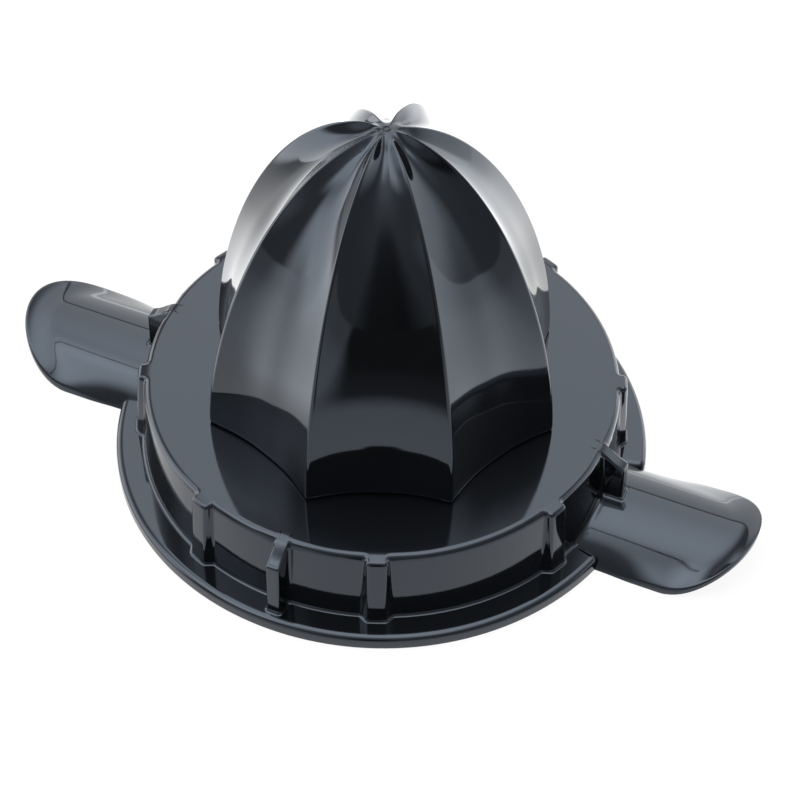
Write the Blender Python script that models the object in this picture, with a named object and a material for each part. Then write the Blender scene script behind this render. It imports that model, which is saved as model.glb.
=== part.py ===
"""Citrus reaming head: a fluted cone that turns on a spindle in a collar with two wing grips.

Metres, +Z up. The origin is the centre of the rim's underside, and +X runs along a grip.
"""
from math import cos, pi, radians, sin, sqrt

import bmesh
import bpy
from mathutils import Vector

MM = 0.001
TOUCH_GAP = 0.3 * MM        # between faces that touch on the real part

# Collar: deck, wall and rim
COLLAR_RADIUS = 50.0 * MM
COLLAR_WALL = 2.2 * MM
DECK_HEIGHT = 20.6 * MM
DECK_THICKNESS = 2.4 * MM
DECK_EDGE = 0.5 * MM
RIM_WIDTH = 7.8 * MM        # how far the rim stands out from the wall
RIM_THICKNESS = 3.1 * MM
RIM_EDGE = 0.9 * MM
ROUND_STEPS = 96

# Ribs on the wall
PILASTER_COUNT = 8
PILASTER_FOOT_WIDTH = 5.2 * MM
PILASTER_FACE_WIDTH = 3.8 * MM
PILASTER_DEPTH = 1.5 * MM
PILASTER_TOP_DROP = 0.35 * MM
GUSSET_THICKNESS = 2.7 * MM
RIM_GUSSET_REACH = 4.4 * MM
RIM_GUSSET_DROP = 3.7 * MM
GRIP_GUSSET_REACH = 4.7 * MM
GRIP_GUSSET_DROP = 4.1 * MM
RIB_SINK = 1.0 * MM         # how far ribs run into the wall or floor that carries them
FLOOR_TRIM = 1.0 * MM       # how far the collar runs on below the floor before it is trimmed

# Ribs under the deck
STIFFENER_COUNT = 8
STIFFENER_THICKNESS = 1.6 * MM
STIFFENER_HEIGHT = 3.0 * MM

# Wing grips: a vault, open below, with a rounded end and a lip that flares up
GRIP_LENGTH = 35.7 * MM     # from the wall to the lip
GRIP_HALF_WIDTH = 15.7 * MM
GRIP_CREST = 8.0 * MM
GRIP_VAULT_RADIUS = 18.8 * MM
GRIP_WALL = 1.9 * MM
GRIP_ROOT_FILLET = 5.0 * MM
LIP_LIFT = 1.9 * MM         # how far the edge stands over the vault's own curve
LIP_WIDTH = 5.5 * MM        # of the band that flares up
LIP_THICKNESS = 1.6 * MM
GRIP_STATIONS = 12
GRIP_FAN_STEPS = 20
GRIP_ROWS = 10
GAP_STEPS = 24

# Reaming cone: ridge and flute outlines are superellipses over the cone's height
RIDGE_COUNT = 8
RIDGE_RADIUS = 39.0 * MM
TALL_RIDGE_HEIGHT = 70.1 * MM
TALL_RIDGE_POWERS = (2.13, 1.67)
LOW_RIDGE_HEIGHT = 69.0 * MM
LOW_RIDGE_POWERS = (1.92, 1.76)
FLUTE_RADIUS = 33.8 * MM
FLUTE_HEIGHT = 68.5 * MM
FLUTE_POWERS = (1.56, 2.36)
FLUTE_SHARPNESS = 2.3       # above 2 the flute's floor is flatter than a parabola
TIP_HEIGHT = 69.8 * MM
CONE_WALL = 2.2 * MM
CROWN_WALL = 4.0 * MM       # thickness at the tip
FLUTE_STEPS = 10
CONE_RINGS = 22
CONE_INNER_RINGS = 12
CONE_LAST_ANGLE = 87.0      # where the rings stop and the tip closes, in degrees

# Inside the cone
BOSS_RADIUS = 8.0 * MM
BOSS_COVER = 0.8 * MM       # skin left over the boss where it runs up into the crown
BOSS_DISC_RADIUS = 12.5 * MM
BOSS_DISC_THICKNESS = 1.5 * MM
WEB_COUNT = 4
WEB_THICKNESS = 1.6 * MM
WEB_COVER = 1.2 * MM        # skin left over the webs
WEB_FIRST_ANGLE = 25.0      # span of the low ridge that each web follows, in degrees
WEB_LAST_ANGLE = 50.0
WEB_POINTS = 7

# Spindle and what carries it
SPINDLE_RADIUS = 3.0 * MM
SPINDLE_FOOT = 5.9 * MM
SPINDLE_HEX_FLATS = 5.2 * MM
RUNNING_GAP = 0.3 * MM
HUB_BORE = 6.0 * MM
HUB_RADIUS = 9.0 * MM
HUB_FOOT = 12.0 * MM
HUB_RISE = 5.4 * MM         # above the deck
SEAL_SEAT_RADIUS = 12.0 * MM
SEAL_SEAT_RISE = 3.0 * MM
BUSH_FLANGE_RADIUS = 8.4 * MM
BUSH_FLANGE_THICKNESS = 1.2 * MM
THRUST_WASHER_RADIUS = 8.0 * MM
THRUST_WASHER_THICKNESS = 0.8 * MM
SEAL_WIDTH = 2.3 * MM
SEAL_LIP_WIDTH = 0.9 * MM
SEAL_BODY_SHARE = 0.55      # of the seal's height
INSERT_FLATS = 10.4 * MM
INSERT_LENGTH = 17.0 * MM
INSERT_ROOF = 1.6 * MM

# Below the hub
LOWER_WASHER_RADIUS = 7.5 * MM
LOWER_WASHER_THICKNESS = 0.8 * MM
CLIP_RADIUS = 5.6 * MM
CLIP_THICKNESS = 0.9 * MM
CLIP_MOUTH = 3.4 * MM
GROOVE_DEPTH = 0.8 * MM
COUPLING_RADIUS = 8.0 * MM
COUPLING_FOOT = 1.2 * MM
COUPLING_SOCKET_FLATS = 8.0 * MM
COUPLING_SOCKET_DEPTH = 3.8 * MM
PIN_RADIUS = 0.9 * MM
PIN_ABOVE_FOOT = 1.8 * MM
SMALL_STEPS = 40
CROSS_STEPS = 16

# Places worked out from the sizes above
RIM_RADIUS = COLLAR_RADIUS + RIM_WIDTH
GRIP_REACH = COLLAR_RADIUS + GRIP_LENGTH
GRIP_END_CENTRE = GRIP_REACH - GRIP_HALF_WIDTH
VAULT_CENTRE = GRIP_CREST - GRIP_VAULT_RADIUS
DECK_UNDERSIDE = DECK_HEIGHT - DECK_THICKNESS
CONE_FOOT = DECK_HEIGHT + TOUCH_GAP
HUB_TOP = DECK_HEIGHT + HUB_RISE
BUSH_FLANGE_FOOT = HUB_TOP + TOUCH_GAP
BUSH_FLANGE_TOP = BUSH_FLANGE_FOOT + BUSH_FLANGE_THICKNESS
THRUST_WASHER_FOOT = BUSH_FLANGE_TOP + TOUCH_GAP
BOSS_FOOT = THRUST_WASHER_FOOT + THRUST_WASHER_THICKNESS + TOUCH_GAP
LOWER_WASHER_TOP = HUB_FOOT - TOUCH_GAP
LOWER_WASHER_FOOT = LOWER_WASHER_TOP - LOWER_WASHER_THICKNESS
CLIP_TOP = LOWER_WASHER_FOOT - TOUCH_GAP
CLIP_FOOT = CLIP_TOP - CLIP_THICKNESS
COUPLING_TOP = CLIP_FOOT - TOUCH_GAP
PIN_HEIGHT = SPINDLE_FOOT + PIN_ABOVE_FOOT
INSERT_FOOT = BOSS_FOOT + TOUCH_GAP
SPINDLE_TOP = INSERT_FOOT + INSERT_LENGTH - INSERT_ROOF - TOUCH_GAP


def clear_scene():
    for obj in list(bpy.data.objects):
        bpy.data.objects.remove(obj, do_unlink=True)


def plastic(name, colour, roughness, metallic=0.0):
    material = bpy.data.materials.new(name)
    material.use_nodes = True
    shader = material.node_tree.nodes["Principled BSDF"]
    shader.inputs["Base Color"].default_value = (*colour, 1.0)
    shader.inputs["Roughness"].default_value = roughness
    shader.inputs["Metallic"].default_value = metallic
    return material


def metal(name, colour, roughness):
    return plastic(name, colour, roughness, metallic=1.0)


def place(bm, name, material=None, smooth_below=32.0):
    """Make an object of a bmesh, with its flat faces kept flat."""
    bmesh.ops.recalc_face_normals(bm, faces=bm.faces)
    mesh = bpy.data.meshes.new(name)
    bm.to_mesh(mesh)
    bm.free()
    mesh.shade_smooth()
    mesh.set_sharp_from_angle(angle=radians(smooth_below))
    obj = bpy.data.objects.new(name, mesh)
    bpy.context.scene.collection.objects.link(obj)
    if material:
        mesh.materials.append(material)
    return obj


def as_tool(obj):
    obj.hide_render = True
    obj.display_type = "WIRE"
    return obj


def combine(obj, tool, operation):
    modifier = obj.modifiers.new(tool.name, "BOOLEAN")
    modifier.operation = operation
    modifier.object = as_tool(tool)


def polar(radius, angle, height):
    return Vector((radius * cos(angle), radius * sin(angle), height))


def add_turned(bm, outline, steps):
    """Spin a closed (radius, height) outline round the Z axis; points on the axis become poles."""
    rings = []
    for radius, height in outline:
        if radius == 0.0:
            rings.append([bm.verts.new((0.0, 0.0, height))] * steps)
        else:
            rings.append([bm.verts.new(polar(radius, 2 * pi * i / steps, height)) for i in range(steps)])
    for ring, following in zip(rings, rings[1:] + rings[:1]):
        for i in range(steps):
            j = (i + 1) % steps
            corners = []
            for vert in (ring[i], ring[j], following[j], following[i]):
                if vert not in corners:
                    corners.append(vert)
            if len(corners) > 2:
                bm.faces.new(corners)


def turned(name, outline, steps, material=None):
    bm = bmesh.new()
    add_turned(bm, outline, steps)
    return place(bm, name, material)


def add_prism(bm, foot, top):
    """Close two matching outlines, point for point, into a prism."""
    low = [bm.verts.new(point) for point in foot]
    high = [bm.verts.new(point) for point in top]
    bm.faces.new(low)
    bm.faces.new(high)
    for i, vert in enumerate(low):
        j = (i + 1) % len(low)
        bm.faces.new((vert, low[j], high[j], high[i]))


def hexagon(flats, height):
    return [polar(flats / sqrt(3), radians(60 * i), height) for i in range(6)]


def hexagonal_tool(name, flats, foot, top):
    bm = bmesh.new()
    add_prism(bm, hexagon(flats, foot), hexagon(flats, top))
    return place(bm, name)


def cross_tool(name, radius, half_length, height):
    """A round bar along Y, for the pin and its holes."""
    bm = bmesh.new()
    circle = [polar(radius, 2 * pi * i / CROSS_STEPS, 0.0) for i in range(CROSS_STEPS)]
    ends = []
    for y in (-half_length, half_length):
        ends.append([Vector((point.x, y, height + point.y)) for point in circle])
    add_prism(bm, *ends)
    return place(bm, name)


def collar_shell(material):
    """Deck, hub, wall and rim, turned in one piece that runs on below the floor, where it is trimmed."""
    inner = COLLAR_RADIUS - COLLAR_WALL
    outline = [
        (HUB_BORE, HUB_FOOT),
        (HUB_BORE, HUB_TOP),
        (HUB_RADIUS, HUB_TOP),
        (HUB_RADIUS, DECK_HEIGHT + SEAL_SEAT_RISE),
        (SEAL_SEAT_RADIUS, DECK_HEIGHT + SEAL_SEAT_RISE),
        (SEAL_SEAT_RADIUS, DECK_HEIGHT),
        (COLLAR_RADIUS - DECK_EDGE, DECK_HEIGHT),
        (COLLAR_RADIUS, DECK_HEIGHT - DECK_EDGE),
        (COLLAR_RADIUS, RIM_THICKNESS),
        (RIM_RADIUS - RIM_EDGE, RIM_THICKNESS),
        (RIM_RADIUS - RIM_EDGE * 0.3, RIM_THICKNESS - RIM_EDGE * 0.3),
        (RIM_RADIUS, RIM_THICKNESS - RIM_EDGE),
        (RIM_RADIUS, RIM_EDGE * 0.5),
        (RIM_RADIUS - RIM_EDGE * 0.5 - FLOOR_TRIM, -FLOOR_TRIM),
        (inner, -FLOOR_TRIM),
        (inner, DECK_UNDERSIDE),
        (HUB_RADIUS, DECK_UNDERSIDE),
        (HUB_RADIUS, HUB_FOOT),
    ]
    return turned("grip_collar", outline, ROUND_STEPS, material)


def pilasters():
    bm = bmesh.new()
    top = DECK_HEIGHT - PILASTER_TOP_DROP
    reach = COLLAR_RADIUS + PILASTER_DEPTH
    for i in range(PILASTER_COUNT):
        turn = 2 * pi * (i + 0.5) / PILASTER_COUNT
        along = polar(1.0, turn, 0.0)
        across = polar(1.0, turn + pi / 2, 0.0)
        plan = (
            (COLLAR_RADIUS - RIB_SINK, -PILASTER_FOOT_WIDTH / 2),
            (COLLAR_RADIUS, -PILASTER_FOOT_WIDTH / 2),
            (reach, -PILASTER_FACE_WIDTH / 2),
            (reach, PILASTER_FACE_WIDTH / 2),
            (COLLAR_RADIUS, PILASTER_FOOT_WIDTH / 2),
            (COLLAR_RADIUS - RIB_SINK, PILASTER_FOOT_WIDTH / 2),
        )
        ends = []
        for height in (RIM_THICKNESS - RIB_SINK, top):
            ends.append([along * out + across * side + Vector((0, 0, height)) for out, side in plan])
        add_prism(bm, *ends)
    return place(bm, "pilasters")


def add_plate(bm, turn, profile, thickness):
    """A flat plate standing on a radius, from an outline of (radius, height) points."""
    across = polar(thickness / 2, turn + pi / 2, 0.0)
    sides = []
    for side in (-across, across):
        sides.append([polar(radius, turn, height) + side for radius, height in profile])
    add_prism(bm, *sides)


def gussets():
    """Sloped plates down the wall: front and back to the rim, left and right to the grips."""
    bm = bmesh.new()
    inside = COLLAR_RADIUS - RIB_SINK
    for i in range(4):
        on_grip = i % 2 == 0
        reach = COLLAR_RADIUS + (GRIP_GUSSET_REACH if on_grip else RIM_GUSSET_REACH)
        drop = GRIP_GUSSET_DROP if on_grip else RIM_GUSSET_DROP
        foot = (GRIP_CREST if on_grip else RIM_THICKNESS) - RIB_SINK
        profile = (
            (inside, foot),
            (inside, DECK_HEIGHT - PILASTER_TOP_DROP),
            (COLLAR_RADIUS, DECK_HEIGHT - PILASTER_TOP_DROP),
            (reach, DECK_HEIGHT - drop),
            (reach, foot),
        )
        add_plate(bm, i * pi / 2, profile, GUSSET_THICKNESS)
    return place(bm, "gussets")


def stiffeners():
    """Shallow radial ribs under the deck, from the hub to the wall."""
    bm = bmesh.new()
    inner = HUB_RADIUS - RIB_SINK
    outer = COLLAR_RADIUS - COLLAR_WALL + RIB_SINK
    foot = DECK_UNDERSIDE - STIFFENER_HEIGHT
    top = DECK_UNDERSIDE + RIB_SINK
    for i in range(STIFFENER_COUNT):
        profile = ((inner, foot), (inner, top), (outer, top), (outer, foot))
        add_plate(bm, 2 * pi * i / STIFFENER_COUNT, profile, STIFFENER_THICKNESS)
    return place(bm, "stiffeners")


def rim_gap():
    """What is cut out of the rim where each grip is hollow, up to the middle of the grip's wall."""
    bm = bmesh.new()
    edge = GRIP_HALF_WIDTH - LIP_THICKNESS / 4
    profile = [(-edge, -2 * FLOOR_TRIM)]
    for k in range(GAP_STEPS + 1):
        y = edge * (2 * k / GAP_STEPS - 1)
        profile.append((y, grip_height(y, GRIP_HALF_WIDTH - abs(y), 0.5)))
    profile.append((edge, -2 * FLOOR_TRIM))
    for side in (-1, 1):
        ends = []
        for x in (side * COLLAR_RADIUS, side * (RIM_RADIUS + RIB_SINK)):
            ends.append([Vector((x, y, height)) for y, height in profile])
        add_prism(bm, *ends)
    return place(bm, "rim_gap")


def below_floor():
    """What is trimmed off under the collar and the grips, so that both end in one flat face."""
    bm = bmesh.new()
    far = GRIP_REACH + RIM_RADIUS
    plan = ((-far, -far), (far, -far), (far, far), (-far, far))
    ends = []
    for height in (-3 * FLOOR_TRIM, 0.0):
        ends.append([Vector((x, y, height)) for x, y in plan])
    add_prism(bm, *ends)
    return place(bm, "below_floor")


def root_fillet(x, y):
    """How much the vault's outside swells where it runs into the collar wall."""
    free = sqrt(x * x + y * y) - COLLAR_RADIUS
    if free >= GRIP_ROOT_FILLET:
        return 0.0
    left = GRIP_ROOT_FILLET - max(free, 0.0)
    return GRIP_ROOT_FILLET - sqrt(GRIP_ROOT_FILLET ** 2 - left ** 2)


def grip_height(y, inset, share):
    """Height of a grip's skin at y, inset from its edge: share 0 on its outside, 1 on its inside."""
    across = sqrt(GRIP_VAULT_RADIUS ** 2 - y ** 2)
    flare = max(1 - inset / LIP_WIDTH, 0.0) ** 2
    wall = (1 - flare) * GRIP_WALL * GRIP_VAULT_RADIUS / across + flare * LIP_THICKNESS
    return VAULT_CENTRE + across + LIP_LIFT * flare - wall * share


def grip_plan():
    """Rows of plan points over a grip: straight stations to the end's centre, then a fan round it."""
    widths = [GRIP_HALF_WIDTH * (1 - (1 - k / GRIP_ROWS) ** 1.4) for k in range(GRIP_ROWS + 1)]
    root = sqrt((COLLAR_RADIUS - RIB_SINK) ** 2 - GRIP_HALF_WIDTH ** 2)
    rows = []
    for k, width in enumerate(widths):
        row = []
        start = sqrt((COLLAR_RADIUS - RIB_SINK) ** 2 - width ** 2) if k < GRIP_ROWS else root
        for i in range(GRIP_STATIONS + 1):
            share = (i / GRIP_STATIONS) ** 1.5
            row.append((start + (GRIP_END_CENTRE - start) * share, width))
        for i in range(1, GRIP_FAN_STEPS + 1):
            angle = pi / 2 - pi * i / GRIP_FAN_STEPS
            row.append((GRIP_END_CENTRE + width * cos(angle), width * sin(angle)))
        for i in range(GRIP_STATIONS - 1, -1, -1):
            share = (i / GRIP_STATIONS) ** 1.5
            row.append((start + (GRIP_END_CENTRE - start) * share, -width))
        rows.append((GRIP_HALF_WIDTH - width, row))
    return rows


def skin_points(row, inset, share):
    points = []
    for x, y in row:
        swell = 0.0 if share else root_fillet(x, y)
        points.append((x, y, grip_height(y, inset, share) + swell))
    return points


def add_grip(bm, side):
    """One wing grip as a closed shell, side +1 or -1 along X."""
    skins = []
    for share in (0, 1):
        skin = []
        for inset, row in grip_plan():
            if skin:
                skin.append([bm.verts.new(point) for point in skin_points(row, inset, share)])
            else:
                spine = [bm.verts.new(point) for point in skin_points(row[:GRIP_STATIONS + 1], inset, share)]
                skin.append(spine + [spine[-1]] * (GRIP_FAN_STEPS - 1) + spine[::-1])
        skins.append(skin)
    for skin in skins:
        for row, following in zip(skin, skin[1:]):
            for i in range(len(row) - 1):
                corners = []
                for vert in (row[i], row[i + 1], following[i + 1], following[i]):
                    if vert not in corners:
                        corners.append(vert)
                bm.faces.new(corners)
    outer, inner = skins
    for i in range(len(outer[-1]) - 1):
        bm.faces.new((outer[-1][i], outer[-1][i + 1], inner[-1][i + 1], inner[-1][i]))
    for end in (0, -1):
        for k in range(GRIP_ROWS):
            corners = (outer[k][end], outer[k + 1][end], inner[k + 1][end], inner[k][end])
            bm.faces.new(corners)
    if side < 0:
        turn = [vert for skin in skins for row in skin for vert in row]
        for vert in set(turn):
            vert.co.x = -vert.co.x
            vert.co.y = -vert.co.y


def grips():
    bm = bmesh.new()
    for side in (-1, 1):
        add_grip(bm, side)
    return place(bm, "grips")


def grip_collar(material):
    collar = collar_shell(material)
    combine(collar, rim_gap(), "DIFFERENCE")
    combine(collar, grips(), "UNION")
    combine(collar, pilasters(), "UNION")
    combine(collar, gussets(), "UNION")
    combine(collar, stiffeners(), "UNION")
    combine(collar, below_floor(), "DIFFERENCE")
    return collar


def superellipse(radius, height, powers, angle):
    """A point (radius, height) of a ridge or flute outline, 0 at its foot and 90 degrees at its top."""
    radial, upright = powers
    out = radius * (cos(angle) ** 2) ** (1 / radial)
    up = height * (sin(angle) ** 2) ** (1 / upright)
    return out, up


def flute_height(radius):
    """Height of the flute's floor over the cone's foot, at a radius."""
    radial, upright = FLUTE_POWERS
    return FLUTE_HEIGHT * (1 - (radius / FLUTE_RADIUS) ** radial) ** (1 / upright)


def cone_point(turn, angle, wall, crown):
    """A point of the cone's skin, wall under its outside at the foot and crown under it at the tip."""
    flutes = turn * RIDGE_COUNT / (2 * pi)
    across = flutes - int(flutes)
    tall_share = across if int(flutes) % 2 else 1 - across
    tall = superellipse(RIDGE_RADIUS - wall, TALL_RIDGE_HEIGHT - crown, TALL_RIDGE_POWERS, angle)
    low = superellipse(RIDGE_RADIUS - wall, LOW_RIDGE_HEIGHT - crown, LOW_RIDGE_POWERS, angle)
    flute = superellipse(FLUTE_RADIUS - wall, FLUTE_HEIGHT - crown, FLUTE_POWERS, angle)
    sink = 1 - abs(2 * across - 1) ** FLUTE_SHARPNESS
    out, up = [
        (a * tall_share + b * (1 - tall_share)) * (1 - sink) + c * sink
        for a, b, c in zip(tall, low, flute)
    ]
    return polar(out, turn, CONE_FOOT + up)


def add_cone_skin(bm, rings, wall, crown):
    """Rings of the cone's skin from foot to tip; returns the foot ring."""
    steps = RIDGE_COUNT * FLUTE_STEPS
    levels = []
    for k in range(rings):
        angle = radians(CONE_LAST_ANGLE) * (k / (rings - 1))
        turns = [2 * pi * i / steps for i in range(steps)]
        levels.append([bm.verts.new(cone_point(turn, angle, wall, crown)) for turn in turns])
    tip = bm.verts.new((0, 0, CONE_FOOT + TIP_HEIGHT - crown))
    for level, following in zip(levels, levels[1:]):
        for i in range(steps):
            j = (i + 1) % steps
            bm.faces.new((level[i], level[j], following[j], following[i]))
    for i in range(steps):
        bm.faces.new((levels[-1][i], levels[-1][(i + 1) % steps], tip))
    return levels[0]


def cone_core():
    """Boss and disc inside the cone, with a hexagonal blind bore for the insert."""
    top_radii = (BOSS_RADIUS, BOSS_RADIUS / 2, 0.0)
    top = [(radius, CONE_FOOT + flute_height(radius) - BOSS_COVER) for radius in top_radii]
    outline = [
        (0.0, BOSS_FOOT),
        (BOSS_DISC_RADIUS, BOSS_FOOT),
        (BOSS_DISC_RADIUS, BOSS_FOOT + BOSS_DISC_THICKNESS),
        (BOSS_RADIUS, BOSS_FOOT + BOSS_DISC_THICKNESS),
        *top,
    ]
    return turned("cone_core", outline, SMALL_STEPS)


def cone_webs():
    """Plates that tie the boss to the skin, under the low ridges."""
    bm = bmesh.new()
    for i in range(WEB_COUNT):
        turn = 2 * pi / RIDGE_COUNT * (2 * i + 1)
        edge = []
        for k in range(WEB_POINTS):
            angle = radians(WEB_FIRST_ANGLE + (WEB_LAST_ANGLE - WEB_FIRST_ANGLE) * k / (WEB_POINTS - 1))
            point = cone_point(turn, angle, WEB_COVER, WEB_COVER)
            edge.append((sqrt(point.x ** 2 + point.y ** 2), point.z))
        inner = BOSS_RADIUS - RIB_SINK
        profile = [(inner, edge[0][1]), *edge, (inner, edge[-1][1])]
        add_plate(bm, turn, profile, WEB_THICKNESS)
    return place(bm, "cone_webs")


def reamer_cone(material):
    bm = bmesh.new()
    outer = add_cone_skin(bm, CONE_RINGS, 0.0, 0.0)
    inner = add_cone_skin(bm, CONE_INNER_RINGS, CONE_WALL, CROWN_WALL)
    for i, vert in enumerate(outer):
        j = (i + 1) % len(outer)
        bm.faces.new((vert, outer[j], inner[j], inner[i]))
    cone = place(bm, "reamer_cone", material)
    combine(cone, cone_core(), "UNION")
    combine(cone, cone_webs(), "UNION")
    bore_flats = INSERT_FLATS + 2 * TOUCH_GAP
    bore_top = INSERT_FOOT + INSERT_LENGTH + TOUCH_GAP
    bore = hexagonal_tool("insert_bore", bore_flats, BOSS_FOOT - RIB_SINK, bore_top)
    combine(cone, bore, "DIFFERENCE")
    return cone


def drive_insert(material):
    bm = bmesh.new()
    top = INSERT_FOOT + INSERT_LENGTH
    add_prism(bm, hexagon(INSERT_FLATS, INSERT_FOOT), hexagon(INSERT_FLATS, top))
    insert = place(bm, "drive_insert", material)
    flats = SPINDLE_HEX_FLATS + 2 * TOUCH_GAP
    socket = hexagonal_tool("insert_socket", flats, INSERT_FOOT - RIB_SINK, top - INSERT_ROOF)
    combine(insert, socket, "DIFFERENCE")
    return insert


def drive_spindle(material):
    groove_top = CLIP_TOP + TOUCH_GAP
    groove_foot = CLIP_FOOT - TOUCH_GAP
    groove = SPINDLE_RADIUS - GROOVE_DEPTH
    hex_foot = BOSS_FOOT
    outline = [
        (0.0, SPINDLE_FOOT),
        (SPINDLE_RADIUS, SPINDLE_FOOT),
        (SPINDLE_RADIUS, groove_foot),
        (groove, groove_foot),
        (groove, groove_top),
        (SPINDLE_RADIUS, groove_top),
        (SPINDLE_RADIUS, hex_foot),
        (0.0, hex_foot),
    ]
    spindle = turned("drive_spindle", outline, SMALL_STEPS, material)
    drive_end = hexagonal_tool("spindle_hex", SPINDLE_HEX_FLATS, hex_foot - RIB_SINK, SPINDLE_TOP)
    combine(spindle, drive_end, "UNION")
    hole = cross_tool("spindle_hole", PIN_RADIUS + TOUCH_GAP, SPINDLE_RADIUS + RIB_SINK, PIN_HEIGHT)
    combine(spindle, hole, "DIFFERENCE")
    return spindle


def spindle_bush(material):
    inner = SPINDLE_RADIUS + RUNNING_GAP
    outer = HUB_BORE - TOUCH_GAP
    outline = [
        (inner, HUB_FOOT),
        (outer, HUB_FOOT),
        (outer, BUSH_FLANGE_FOOT),
        (BUSH_FLANGE_RADIUS, BUSH_FLANGE_FOOT),
        (BUSH_FLANGE_RADIUS, BUSH_FLANGE_TOP),
        (inner, BUSH_FLANGE_TOP),
    ]
    return turned("spindle_bush", outline, SMALL_STEPS, material)


def washer(name, radius, foot, thickness, material):
    inner = SPINDLE_RADIUS + RUNNING_GAP
    top = foot + thickness
    outline = [(inner, foot), (radius, foot), (radius, top), (inner, top)]
    return turned(name, outline, SMALL_STEPS, material)


def juice_seal(material):
    """A lip ring that sits on the hub's step and reaches up to the boss's disc."""
    inner = HUB_RADIUS + TOUCH_GAP
    foot = DECK_HEIGHT + SEAL_SEAT_RISE + TOUCH_GAP
    top = BOSS_FOOT - TOUCH_GAP
    waist = foot + (top - foot) * SEAL_BODY_SHARE
    outline = [
        (inner, foot),
        (inner + SEAL_WIDTH, foot),
        (inner + SEAL_WIDTH, waist),
        (inner + SEAL_LIP_WIDTH, waist + (top - waist) * 0.3),
        (inner + SEAL_WIDTH, top),
        (inner + SEAL_WIDTH - SEAL_LIP_WIDTH, top),
        (inner, waist + (top - waist) * 0.3),
    ]
    return turned("juice_seal", outline, SMALL_STEPS, material)


def retaining_clip(material):
    """An E-clip: a ring with an open mouth and two inner notches."""
    groove = SPINDLE_RADIUS - GROOVE_DEPTH
    inner = groove + TOUCH_GAP
    outline = [(inner, CLIP_FOOT), (CLIP_RADIUS, CLIP_FOOT), (CLIP_RADIUS, CLIP_TOP), (inner, CLIP_TOP)]
    clip = turned("retaining_clip", outline, SMALL_STEPS, material)
    bm = bmesh.new()
    plan = (
        (0.0, -CLIP_MOUTH / 2),
        (CLIP_RADIUS * 1.2, -CLIP_MOUTH / 2),
        (CLIP_RADIUS * 1.2, CLIP_MOUTH / 2),
        (0.0, CLIP_MOUTH / 2),
    )
    low, high = [
        [Vector((x, y, height)) for x, y in plan] for height in (CLIP_FOOT - RIB_SINK, CLIP_TOP + RIB_SINK)
    ]
    add_prism(bm, low, high)
    combine(clip, place(bm, "clip_mouth"), "DIFFERENCE")
    return clip


def drive_coupling(material):
    bore = SPINDLE_RADIUS + TOUCH_GAP
    bore_foot = SPINDLE_FOOT - TOUCH_GAP
    outline = [
        (0.0, COUPLING_FOOT),
        (COUPLING_RADIUS, COUPLING_FOOT),
        (COUPLING_RADIUS, COUPLING_TOP),
        (bore, COUPLING_TOP),
        (bore, bore_foot),
        (0.0, bore_foot),
    ]
    coupling = turned("drive_coupling", outline, SMALL_STEPS, material)
    socket_top = COUPLING_FOOT + COUPLING_SOCKET_DEPTH
    socket = hexagonal_tool("drive_socket", COUPLING_SOCKET_FLATS, COUPLING_FOOT - RIB_SINK, socket_top)
    combine(coupling, socket, "DIFFERENCE")
    hole = cross_tool("coupling_hole", PIN_RADIUS + TOUCH_GAP, COUPLING_RADIUS + RIB_SINK, PIN_HEIGHT)
    combine(coupling, hole, "DIFFERENCE")
    return coupling


def coupling_pin(material):
    pin = cross_tool("coupling_pin", PIN_RADIUS, COUPLING_RADIUS - TOUCH_GAP, PIN_HEIGHT)
    pin.data.materials.append(material)
    return pin


def build():
    clear_scene()
    black = plastic("black_gloss", (0.012, 0.013, 0.015), 0.16)
    dark = plastic("dark_acetal", (0.03, 0.03, 0.032), 0.45)
    white = plastic("white_nylon", (0.75, 0.74, 0.70), 0.5)
    rubber = plastic("seal_rubber", (0.02, 0.02, 0.02), 0.7)
    steel = metal("steel", (0.60, 0.61, 0.62), 0.3)
    brass = metal("brass", (0.72, 0.55, 0.27), 0.35)
    bronze = metal("bronze", (0.55, 0.38, 0.22), 0.45)
    grip_collar(black)
    reamer_cone(black)
    drive_insert(brass)
    drive_spindle(steel)
    spindle_bush(bronze)
    washer("thrust_washer", THRUST_WASHER_RADIUS, THRUST_WASHER_FOOT, THRUST_WASHER_THICKNESS, white)
    washer("lower_washer", LOWER_WASHER_RADIUS, LOWER_WASHER_FOOT, LOWER_WASHER_THICKNESS, steel)
    juice_seal(rubber)
    retaining_clip(steel)
    drive_coupling(dark)
    coupling_pin(steel)


build()
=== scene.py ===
"""Citrus reaming head in black gloss plastic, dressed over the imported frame.

Metres, +Z up. The origin is the centre of the rim's underside, and +X runs along a grip.
"""
from math import asin, atan2, ceil, cos, hypot, pi, radians, sin, sqrt, tan

import bmesh
import bpy
from mathutils import Matrix, Vector


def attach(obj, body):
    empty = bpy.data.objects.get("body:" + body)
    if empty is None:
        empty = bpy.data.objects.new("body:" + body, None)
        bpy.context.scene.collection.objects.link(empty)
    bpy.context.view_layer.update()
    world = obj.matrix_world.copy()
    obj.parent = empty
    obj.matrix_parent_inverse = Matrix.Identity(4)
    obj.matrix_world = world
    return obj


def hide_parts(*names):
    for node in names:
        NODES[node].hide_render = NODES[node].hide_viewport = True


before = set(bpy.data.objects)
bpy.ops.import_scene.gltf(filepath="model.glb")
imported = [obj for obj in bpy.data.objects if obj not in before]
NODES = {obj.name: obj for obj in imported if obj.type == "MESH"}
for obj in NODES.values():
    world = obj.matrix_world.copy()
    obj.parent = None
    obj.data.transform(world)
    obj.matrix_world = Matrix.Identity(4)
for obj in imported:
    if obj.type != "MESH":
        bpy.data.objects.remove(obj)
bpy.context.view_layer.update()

MM = 0.001

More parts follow.
